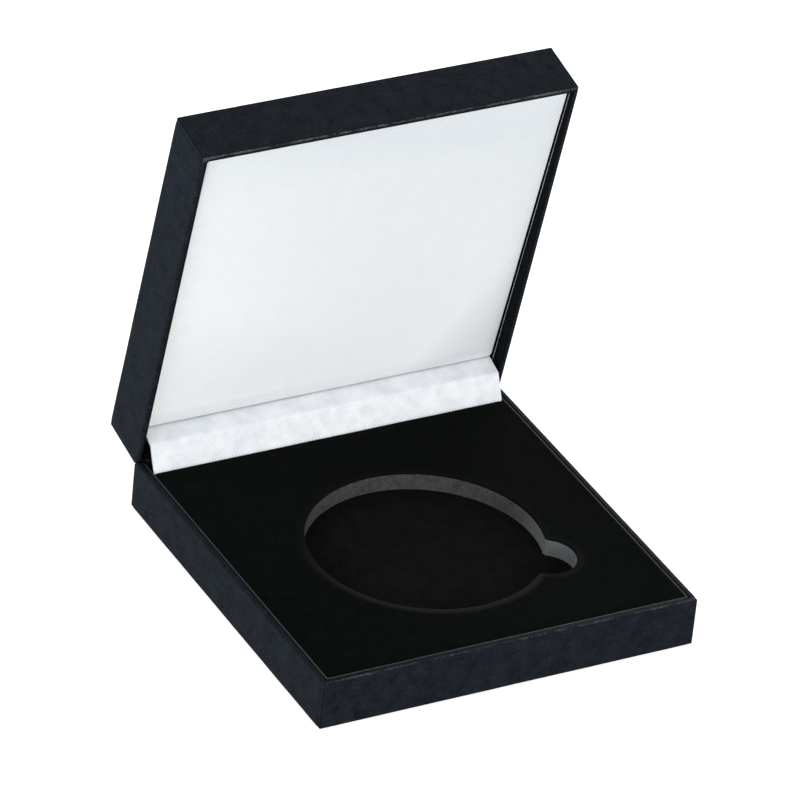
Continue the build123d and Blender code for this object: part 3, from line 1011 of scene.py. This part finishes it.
def lining_layer(inset, top, bottom, radius, rows, spacing):
    """One layer of the lining, smaller all round than its satin by an inset."""
    corner = Vector((lining_half_wide - inset, lining_long - inset))
    outline = rounded_rectangle(Vector((-corner.x, lining_seam + inset)), corner, lining_corner - inset, 1.2)
    return layer([(outline, rounded_edge(top, bottom, radius, rows))], spacing)


white_satin = satin(
    "white_satin", 0.64, (0.965, 0.97, 0.975), (0.80, 0.81, 0.825), (0.75, 0.78, 0.80),
    clouded=0.08, front_shade=0.85, hinge_shade=1.0, tucked=0.45,
)

# The satin is crowned over its wadding and a little uneven.
bm = lining_layer(0, 0, lining_thick, radius=lining_edge, rows=2, spacing=1.5)
for vert in bm.verts:
    at = vert.co
    if at.z < lining_thick * 0.6:
        from_edge = min(lining_half_wide - abs(at.x), at.y, lining_long - at.y)
        fall = lining_crown * (1 - smooth_step(from_edge, -1.0, crown_reach))
        at.z += fall + lining_swell * ripple(at, 14.0) + lining_pucker * ripple(at, 3.5)
cover = settle("lining_cover", bm, lining_half, white_satin, "lid", ["lining_satin"])


# The hinge cover: a strip of creased card with satin on its face, tucked behind the pad's back edge
# and behind the lining's lower edge. As the lid shuts, its upper facet folds down at the crease.
strip_half = 41.9
strip_satin_t = 0.25
strip_card_t = 0.5
strip_leg = 6.05
strip_lid_leg = 6.0
strip_fold_r = 0.35
strip_fold_ease = 0.25  # how much further a fold's rounding reaches than its radius needs
strip_fold_steps = 6
strip_pitch = 0.7
strip_wave = 0.06
strip_glue = 0.05  # between the satin and the card
strip_tucked = 0.55  # how deep it meets the lining's lower edge
strip_shade_rise = 0.15  # how far above its upper fold its hidden leg is painted dark as shade
card_short = 0.1  # how much narrower than the satin its card is at each end
crease_forward = 2.0  # its crease and its fold behind the pad are placed from the pin
crease_up = 5.15
fold_forward = 4.45
fold_down = 0.05


def with_normals(points):
    """A line's points with the normals on its left."""
    found = []
    for i, at in enumerate(points):
        along = points[min(i + 1, len(points) - 1)] - points[max(i - 1, 0)]
        found.append((at, Vector((-along.y, along.x)).normalized()))
    return found


def softened(points, radius, pitch):
    """The line through the points, its corners rounded, with the normals on its left."""
    line = [points[0]]
    for before, at, after in zip(points, points[1:], points[2:]):
        into, out = (at - before).normalized(), (after - at).normalized()
        room = 0.45 * min((at - before).length, (after - at).length)
        cut = min(radius * math.tan(into.angle(out) / 2) + strip_fold_ease, room)
        start, end = at - into * cut, at + out * cut
        for k in range(strip_fold_steps + 1):
            t = k / strip_fold_steps
            line.append(start * (1 - t) ** 2 + at * 2 * t * (1 - t) + end * t**2)
    line.append(points[-1])
    dense = []
    for a, b in zip(line, line[1:]):
        count = max(1, math.ceil((b - a).length / pitch))
        dense += [a.lerp(b, i / count) for i in range(count)]
    return with_normals([*dense, line[-1]])


def bent_strip(line, near, far, middle, half_width, pitch, wave):
    """A strip along the hinge whose section follows a line in the plane across it."""
    bm = bmesh.new()
    count = max(2, round(2 * half_width / pitch))
    rings = []
    for i in range(count + 1):
        x = middle - half_width + 2 * half_width * i / count
        faces = []
        for distance in (near, far):
            side = []
            for at, normal in line:
                lift = wave * noise.noise(Vector((x / 9.0, at.x / 5.0, at.y / 5.0)))
                p = at + normal * (distance + lift)
                side.append(bm.verts.new((x, p.x, p.y)))
            faces.append(side)
        rings.append(faces[0] + faces[1][::-1])
    lofted(bm, rings)
    for ring in (rings[0], rings[-1]):
        for i in range(len(ring) // 2 - 1):
            bm.faces.new((ring[i], ring[i + 1], ring[-2 - i], ring[-1 - i]))
    return bm


def across_hinge(point):
    """A point of a half in millimetres of the case's frame, in the plane across the hinge."""
    return Vector((point.y, point.z)) / millimetre


def bends(piece, start, end):
    """Makes a piece bend from base to lid, between two points of the plane across the hinge."""
    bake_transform(piece, "base", "lid", start=(0, *(start * millimetre)), end=(0, *(end * millimetre)))


metres = Matrix.Scale(millimetre, 4)
pin_at = across_hinge(pin)
lid_fold = across_hinge(lining_half @ Vector((0, -strip_satin_t, strip_tucked)))
lid_end = across_hinge(lining_half @ Vector((0, -strip_satin_t, strip_lid_leg)))
base_fold = pin_at + Vector((-fold_forward, -fold_down))
crease = pin_at + Vector((-crease_forward, crease_up))
strip_points = [base_fold - Vector((0, strip_leg)), base_fold, crease, lid_fold, lid_end]
strip_line = softened(strip_points, strip_fold_r, strip_pitch)
strip_long = sum((b[0] - a[0]).length for a, b in zip(strip_line, strip_line[1:]))

strip_finish = satin(
    "strip_satin", 0.50, (0.90, 0.91, 0.92), (0.70, 0.73, 0.77), (0.80, 0.83, 0.86),
    clouded=0.75, front_shade=0.0, hinge_shade=0.0, tucked=lid_fold.y + strip_shade_rise,
)
bm = bent_strip(strip_line, strip_glue, strip_satin_t - strip_wave, 0, strip_half, 1.0, strip_wave)
strip = settle("hinge_cover_satin", bm, metres, strip_finish, None, ["strip_satin"])
bends(strip, crease, lid_fold)

card_finish = fibrous(
    "white_card", {"Specular IOR Level": 0.3, "Roughness": 0.8},
    dark=(0.70, 0.70, 0.68), pale=(0.80, 0.80, 0.78), fibre=0.3, tall=0.02,
)
bm = bent_strip(strip_line, -strip_card_t, 0.0, 0, strip_half - card_short, 2.0, wave=0.03)
strip_card = settle("hinge_cover_card", bm, metres, card_finish, None, ["strip_card"])
bends(strip_card, crease, lid_fold)


# Behind the lining: a stiff card with wadding on its face, both inside the satin, and a wedge of
# grey foam glued between them and the lid's top board.
wadding_face = 0.75
wadding_inset = 0.8
card_face, card_back = 1.35, 2.0
card_inset = 0.4
wedge_face = lining_back_depth + lining_thick
wedge_gap = 0.04
wadding = fibrous(
    "white_wadding", {"Roughness": 1.0, "Specular IOR Level": 0.1},
    dark=(0.74, 0.74, 0.73), pale=(0.86, 0.86, 0.86), fibre=0.4, tall=0.15, detail=5.0,
)
grey_foam = cut_foam("grey_foam", (0.27, 0.27, 0.27), (0.17, 0.17, 0.17))

bm = lining_layer(card_inset, card_face, card_back, radius=0.05, rows=1, spacing=0)
settle("lining_board", bm, lining_half, card_finish, "lid", ["lining_card"])

bm = lining_layer(wadding_inset, wadding_face, card_face, radius=0.15, rows=1, spacing=0)
stuffing = settle("lining_wadding_sheet", bm, lining_half, wadding, "lid",
                  ["lining_wadding"])

low, high = limits("lid_backing_foam", lid_half)
wedge_outline = rounded_rectangle(low, high, radius=1.5, pitch=3.0)
bm = layer([(wedge_outline, rounded_edge(wedge_face, high.z, 0.2, rows=5, steps=3))], spacing=4.0)
for vert in bm.verts:
    share = (high.z - vert.co.z) / (high.z - wedge_face)
    vert.co.z += share * ((lining_from_hinge - vert.co.y) * math.tan(lining_tilt) + wedge_gap)
wedge = settle("foam_wedge", bm, lid_half, grey_foam, "lid", ["lid_backing_foam"])


# The underside sheet: black paper with rounded corners, glued under the base over the wrap's
# turned-under border and the bare board inside it. Its cut edge is a little rounded.
underside_corner = 1.6
underside_edge = 0.12
underside_round = (0.03, 0.04)
underside_wave = 0.03

# The paper has fibres and soft clouds, and is greyer along its edge.
paper = Finish("underside_paper", {"Specular IOR Level": 0.25})
place = paper.place()
fibres = paper.noise(place, 0.25, 5.0)
cloud = paper.noise(place, 9.0)
ground = paper.mixed(fibres * 0.6 + cloud * 0.4, (0.010, 0.010, 0.011), (0.026, 0.026, 0.027))
paper.wire({
    "Base Color": paper.mixed(paper.wear() * 0.5, ground, (0.07, 0.07, 0.07)),
    "Roughness": 0.72 + fibres * 0.2,
    "Normal": paper.bumped(fibres, 0.02, 0.7),
})

low, high = limits("underside_sheet", base_half)
sheet_outline = rounded_rectangle(low, high, underside_corner, pitch=2.0)
sheet_edge = [(0.0, low.z), (0.0, high.z - underside_edge)]
sheet_edge += [(underside_round[0], high.z - underside_round[1]), (underside_edge, high.z)]
bm = layer([(sheet_outline, sheet_edge)], spacing=3.0)
for vert in bm.verts:
    if vert.co.z > high.z - hair:
        vert.co.z -= underside_wave * (0.5 + 0.5 * ripple(vert.co, 10.0))
settle("underside_paper_sheet", bm, base_half, paper, "base", ["underside_sheet"])


# The hinge: two brass leaves riveted to the back boards and rolled round one pin, with a flat bow
# spring clamped across each end, which snaps the lid open and shut.
bow_t = 0.3
bow_half = 4.0
bow_x = 22.0
bow_from_pin = 1.0
bow_bulge = 2.7
bow_steps = 12
bow_bend_from = 3  # how many points from each end it starts to bend
tab_start, tab_end = 4.6, 7.0


def metal(name, shade, dull, rough):
    """Metal brushed along the hinge and stained duller in patches."""
    finish = Finish(name, {"Metallic": 1.0})
    place = finish.packed_place()
    values = {"Vector": place, "Vector_001": (120.0, 5000.0, 5000.0)}
    brushed = finish.add("ShaderNodeVectorMath", {"operation": "MULTIPLY"}, values, "Vector")
    lines = finish.noise(brushed, 1.0, rough=0.5)
    stain = finish.noise(place, 2.5 * millimetre, 4.0, rough=0.5)
    finish.wire({
        "Base Color": finish.mixed(finish.ranged(stain, 0.4, 0.75), shade, dull),
        "Roughness": rough + lines * 0.25,
        "Normal": finish.bumped(lines, 0.004, 0.6),
    })
    return finish


# The brass is coloured far darker than bright brass: painted shade for the hinge in its notch.
brass = metal("brass", (0.055, 0.042, 0.025), (0.022, 0.017, 0.012), 0.45)
steel = metal("spring_steel", (0.50, 0.50, 0.52), (0.22, 0.21, 0.20), 0.22)
for node in ("hinge_base_leaf", "hinge_lid_leaf", "hinge_pin", "base_rivets", "lid_rivets"):
    refinish(node, brass)


def hermite(start, end, leave, arrive, steps):
    """Points from start to end that leave and arrive along two directions."""
    long = (end - start).length
    found = []
    for i in range(steps + 1):
        t = i / steps
        a, b = 2 * t**3 - 3 * t**2 + 1, t**3 - 2 * t**2 + t
        c, d = 3 * t**2 - 2 * t**3, t**3 - t**2
        found.append(start * a + leave * (long * b) + end * c + arrive * (long * d))
    return found


low_tab = [across_hinge(base_half @ Vector((0, bow_from_pin, z))) for z in (tab_end, tab_start)]
high_tab = [across_hinge(lid_half @ Vector((0, bow_from_pin, z))) for z in (tab_start, tab_end)]
crown_way = math.radians(90) + lean / 2
crown = pin_at + bow_bulge * Vector((math.cos(crown_way), math.sin(crown_way)))
over_crown = Vector((math.sin(crown_way), -math.cos(crown_way)))
lid_inwards = (high_tab[1] - high_tab[0]).normalized()
bow_points = [low_tab[0]]
bow_points += hermite(low_tab[1], crown, Vector((0, 1)), over_crown, bow_steps)
bow_points += hermite(crown, high_tab[0], over_crown, lid_inwards, bow_steps)[1:]
bow_points += [high_tab[1]]
for side, middle in (("left", -bow_x), ("right", bow_x)):
    bm = bent_strip(with_normals(bow_points), -bow_t / 2, bow_t / 2, middle, bow_half, 1.0, wave=0.0)
    bow = settle(f"bow_{side}", bm, metres, steel, None, [f"bow_spring_{side}"])
    bends(bow, bow_points[bow_bend_from], bow_points[-1 - bow_bend_from])


# The joint tape: a ribbon of the same black covering, glued into the joint behind the barrel. It
# closes the gap between the bevelled rims, and opens round the barrel as the lid shuts.
tape_t = 0.05
tape_side_gap = 0.05
tape_backing_half = 43.7
tape_steps = 16


def tape(name, radius, reach, half_width):
    """A ribbon bent round the pin, reaching as far into each half."""
    line = []
    for i in range(tape_steps + 1):
        way = -lean / 2 + reach / radius * (2 * i / tape_steps - 1)
        outward = Vector((math.cos(way), math.sin(way)))
        line.append((pin_at + outward * radius, outward))
    bm = bent_strip(line, -tape_t / 2, tape_t / 2, 0, half_width, 3.0, wave=0.0)
    ribbon = settle(name, bm, metres, leather, None, [])
    bends(ribbon, line[0][0], line[-1][0])


tape("joint_tape", radius=0.84, reach=0.75, half_width=inner_x - tape_side_gap)
tape("joint_tape_backing", radius=0.90, reach=0.22, half_width=tape_backing_half)


low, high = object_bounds()
